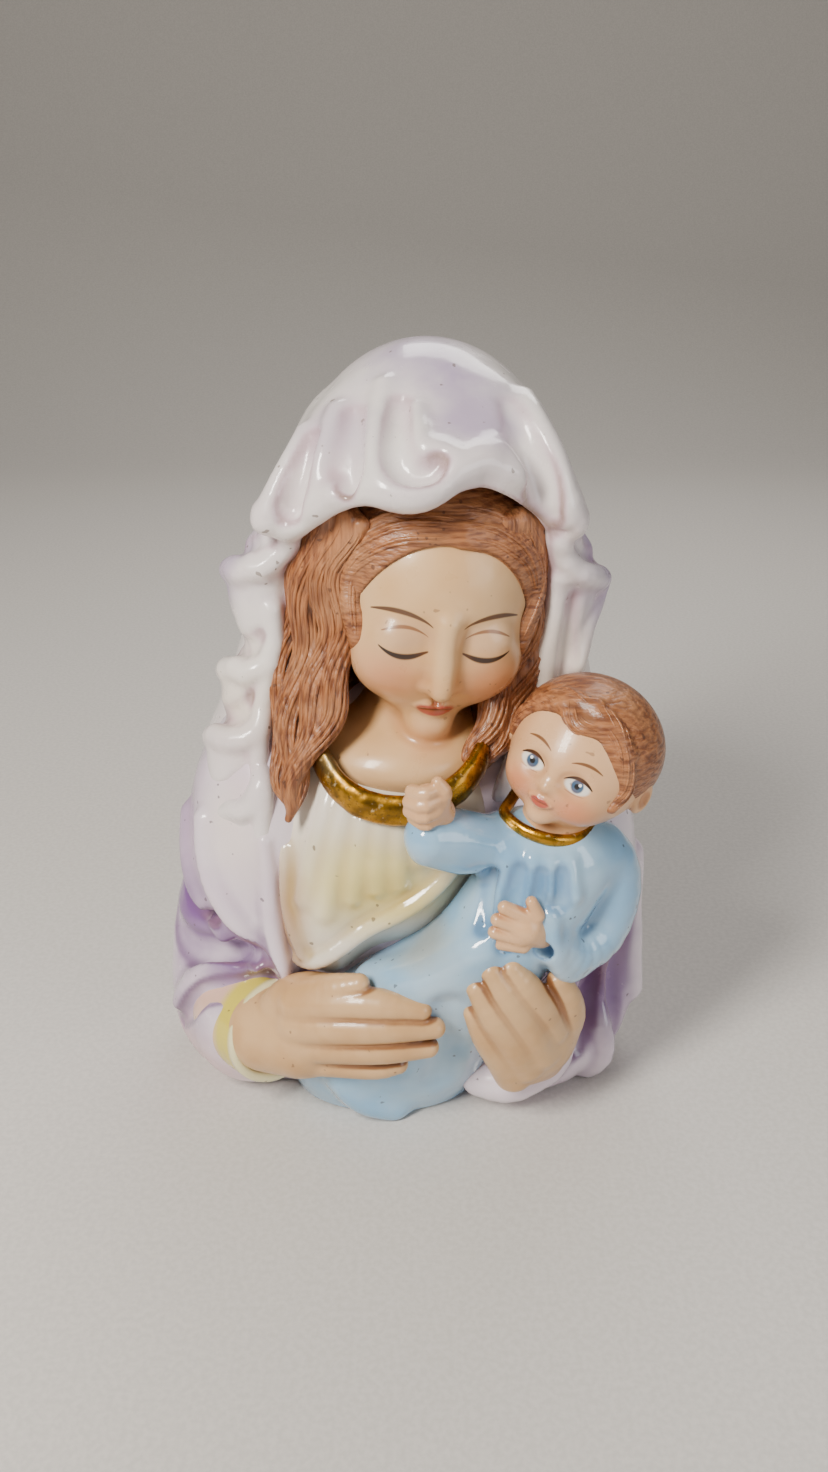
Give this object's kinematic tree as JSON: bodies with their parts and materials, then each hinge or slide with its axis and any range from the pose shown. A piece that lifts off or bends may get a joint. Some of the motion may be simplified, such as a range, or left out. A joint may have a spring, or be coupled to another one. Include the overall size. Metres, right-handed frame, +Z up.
{
  "type": "devotional mother and child bust",
  "caption": "Porcelain devotional bust of a veiled mother holding a child, hollow cast, with gilded neckbands and a flat foot.",
  "frame": {"origin": "middle of the footprint box, on the surface the bust stands on", "axes": "+Z up; the bust faces -Y; the mother's right hand is on the -X side"},
  "size_m": [0.1002, 0.0756, 0.15],
  "materials": {
    "veil_glaze": "clear gloss glaze over white porcelain, airbrushed lilac and cream in the folds",
    "mantle_glaze": "clear gloss glaze over white porcelain, airbrushed purple in the folds",
    "skin_enamel": "satin flesh enamel with painted features",
    "hair_enamel": "brushed auburn enamel, satin",
    "bodice_glaze": "gloss glaze, white shaded pale yellow",
    "gilding": "fired gold film over glazed porcelain, worn in patches",
    "cuff_glaze": "gloss glaze, pale yellow",
    "gown_glaze": "gloss glaze, pale blue"
  },
  "bodies": {
    "root": {"mantle": "mantle_glaze", "mantle_sleeve_right": "mantle_glaze", "mantle_sleeve_left": "mantle_glaze", "veil": "veil_glaze", "veil_cascade_right": "veil_glaze", "veil_cascade_left": "veil_glaze", "mother_head": "skin_enamel", "mother_front_hair": "hair_enamel", "mother_hair_lock_right": "hair_enamel", "mother_hair_lock_left": "hair_enamel", "mother_bodice": "bodice_glaze", "mother_collar": "gilding", "mother_cuff": "cuff_glaze", "mother_right_hand": "skin_enamel", "mother_left_hand": "skin_enamel", "child_gown": "gown_glaze", "child_head": "skin_enamel", "child_hair": "hair_enamel", "child_collar": "gilding", "child_right_sleeve": "gown_glaze", "child_left_sleeve": "gown_glaze", "child_right_hand": "skin_enamel", "child_left_hand": "skin_enamel"}
  },
  "joints": []
}
